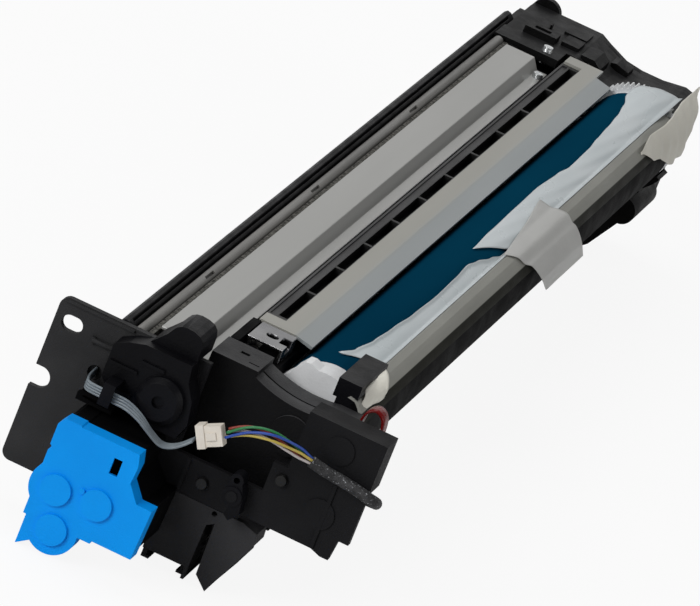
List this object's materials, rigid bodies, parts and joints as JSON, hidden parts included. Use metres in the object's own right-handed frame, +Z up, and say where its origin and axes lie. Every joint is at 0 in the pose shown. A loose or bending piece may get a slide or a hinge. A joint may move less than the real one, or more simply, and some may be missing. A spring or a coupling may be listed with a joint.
{
  "type": "printer drum unit",
  "caption": "Long colour-copier drum unit with photoconductor drum, developer and cleaner housings, sheet-metal cover strips, moulded end frames and a covered gear train.",
  "frame": {"origin": "under the middle of the unit's box without its leads, on the plane it rests on", "axes": "+X to the drum's side, seen from the front plate; +Y along the drum from the front plate to the drive end; +Z up, to the side with the metal cover strips"},
  "size_m": [0.1156, 0.5172, 0.0768],
  "materials": {
    "front_black": "fine-grained dark grey moulding",
    "housing_black": "smooth black moulding",
    "frame_black": "satin black moulding",
    "case_black": "satin black moulding",
    "blue": "bright blue moulding, smooth",
    "gear_white": "white acetal",
    "lever_black": "smooth black moulding",
    "ribbon_grey": "flat grey four-way lead",
    "connector_cream": "cream nylon",
    "wire_colours": "thin insulated leads in several colours",
    "sleeve_black": "braided black sleeve with pale flecks",
    "rail_grey": "grey moulding",
    "felt": "dotted grey felt",
    "cover_steel": "bright zinc-plated sheet",
    "cream_steel": "warm grey coated sheet",
    "chrome": "polished spring sheet",
    "beige_rail": "beige foam-backed seal rail",
    "steel": "ground steel",
    "roller_grey": "dull blasted sleeve",
    "auger_grey": "dark grey moulding",
    "roller_rubber": "conductive black rubber",
    "blade_rubber": "amber polyurethane",
    "drum_teal": "deep teal photoconductor coating",
    "white_plastic": "white acetal",
    "film_clear": "clear protective film",
    "tape_clear": "frosted adhesive tape",
    "foil": "pale foil flap",
    "red": "glossy red plastic",
    "screw_black": "black oxide",
    "screw_zinc": "bright zinc"
  },
  "bodies": {
    "frame": {"front_plate": "front_black", "front_housing": "housing_black", "front_frame": "frame_black", "gear_case": "case_black", "blue_cover": "blue", "toner_duct": "front_black", "cable_clip": "case_black", "ribbon_lead": "ribbon_grey", "lead_connector": "connector_cream", "colour_wires": "wire_colours", "wire_sleeve": "sleeve_black", "outer_rail": "housing_black", "guide_rail": "rail_grey", "felt_strip": "felt", "cover_plate": "cover_steel", "slot_frame": "frame_black", "guard_plate": "cream_steel", "contact_bracket": "chrome", "side_rail": "beige_rail", "developer_case": "case_black", "cleaner_case": "case_black", "doctor_blade": "steel", "charge_bearings": "white_plastic", "charge_springs": "steel", "cleaning_blade": "blade_rubber", "blade_holder": "steel", "front_bearing": "frame_black", "rear_bearing": "white_plastic", "end_seal": "white_plastic", "protective_film": "film_clear", "tape": "tape_clear", "foil_flap": "foil", "red_tab": "red", "end_film": "foil", "hook_block": "housing_black", "rear_frame": "frame_black", "rear_cover": "frame_black", "bearing_cap": "lever_black", "screws": "screw_zinc", "front_screws": "screw_black"},
    "drum": {"drum_tube": "drum_teal", "drum_flange": "white_plastic", "drum_gear": "white_plastic", "drum_shaft": "steel", "drum_coupling": "auger_grey"},
    "developer": {"developer_roller": "roller_grey", "developer_gear": "gear_white"},
    "lower_mixer": {"lower_auger": "auger_grey", "lower_auger_gear": "gear_white"},
    "upper_mixer": {"upper_auger": "auger_grey", "upper_auger_gear": "gear_white"},
    "waste_idler": {"waste_idler": "gear_white"},
    "waste": {"waste_auger": "auger_grey", "waste_auger_gear": "gear_white"},
    "charge": {"charge_roller": "roller_rubber"},
    "relay_left": {"relay_gear_left": "gear_white"},
    "relay_right": {"relay_gear_right": "gear_white"},
    "relay_lower": {"relay_gear_lower": "gear_white"},
    "shutter": {"toner_shutter": "lever_black"},
    "lever": {"lock_lever": "lever_black"}
  },
  "joints": [
    {"name": "drum_spin", "type": "hinge", "parent": "frame", "child": "drum", "pos_m": [0.024, 0.2086, 0.0535], "axis": [0, 1, 0], "continuous": true},
    {"name": "developer_spin", "type": "hinge", "parent": "frame", "child": "developer", "pos_m": [0.00201, 0.2086, 0.0455], "axis": [0, 1, 0], "continuous": true},
    {"name": "lower_mixer_spin", "type": "hinge", "parent": "frame", "child": "lower_mixer", "pos_m": [-0.01188, 0.2086, 0.03503], "axis": [0, 1, 0], "continuous": true},
    {"name": "upper_mixer_spin", "type": "hinge", "parent": "frame", "child": "upper_mixer", "pos_m": [-0.02423, 0.2086, 0.04973], "axis": [0, 1, 0], "continuous": true},
    {"name": "waste_idler_spin", "type": "hinge", "parent": "frame", "child": "waste_idler", "pos_m": [0.02168, 0.2086, 0.03142], "axis": [0, 1, 0], "continuous": true},
    {"name": "waste_spin", "type": "hinge", "parent": "frame", "child": "waste", "pos_m": [0.02068, 0.2086, 0.02187], "axis": [0, 1, 0], "continuous": true},
    {"name": "charge_spin", "type": "hinge", "parent": "frame", "child": "charge", "pos_m": [0.01763, 0.0036, 0.03391], "axis": [0, 1, 0], "continuous": true},
    {"name": "relay_left_spin", "type": "hinge", "parent": "frame", "child": "relay_left", "pos_m": [-0.0293, -0.2514, 0.0213], "axis": [0, 1, 0], "continuous": true},
    {"name": "relay_right_spin", "type": "hinge", "parent": "frame", "child": "relay_right", "pos_m": [-0.01585, -0.2514, 0.02248], "axis": [0, 1, 0], "continuous": true},
    {"name": "relay_lower_spin", "type": "hinge", "parent": "frame", "child": "relay_lower", "pos_m": [-0.026, -0.2514, 0.00898], "axis": [0, 1, 0], "continuous": true},
    {"name": "shutter_slide", "type": "slide", "parent": "frame", "child": "shutter", "axis": [0, 1, 0], "range_m": [0, 0.016]},
    {"name": "lever_turn", "type": "hinge", "parent": "frame", "child": "lever", "pos_m": [0.0175, -0.2299, 0.0344], "axis": [0, 1, 0], "range_deg": [0, 35]}
  ],
  "couplings": [
    {"joint": "developer_spin", "follows": "drum_spin", "ratio": -2.5455},
    {"joint": "lower_mixer_spin", "follows": "drum_spin", "ratio": 1.5556},
    {"joint": "upper_mixer_spin", "follows": "drum_spin", "ratio": -2},
    {"joint": "waste_idler_spin", "follows": "drum_spin", "ratio": -3.1111},
    {"joint": "waste_spin", "follows": "drum_spin", "ratio": 4},
    {"joint": "charge_spin", "follows": "drum_spin", "ratio": -2.7273},
    {"joint": "relay_right_spin", "follows": "relay_left_spin", "ratio": -1},
    {"joint": "relay_lower_spin", "follows": "relay_left_spin", "ratio": -1.125}
  ]
}
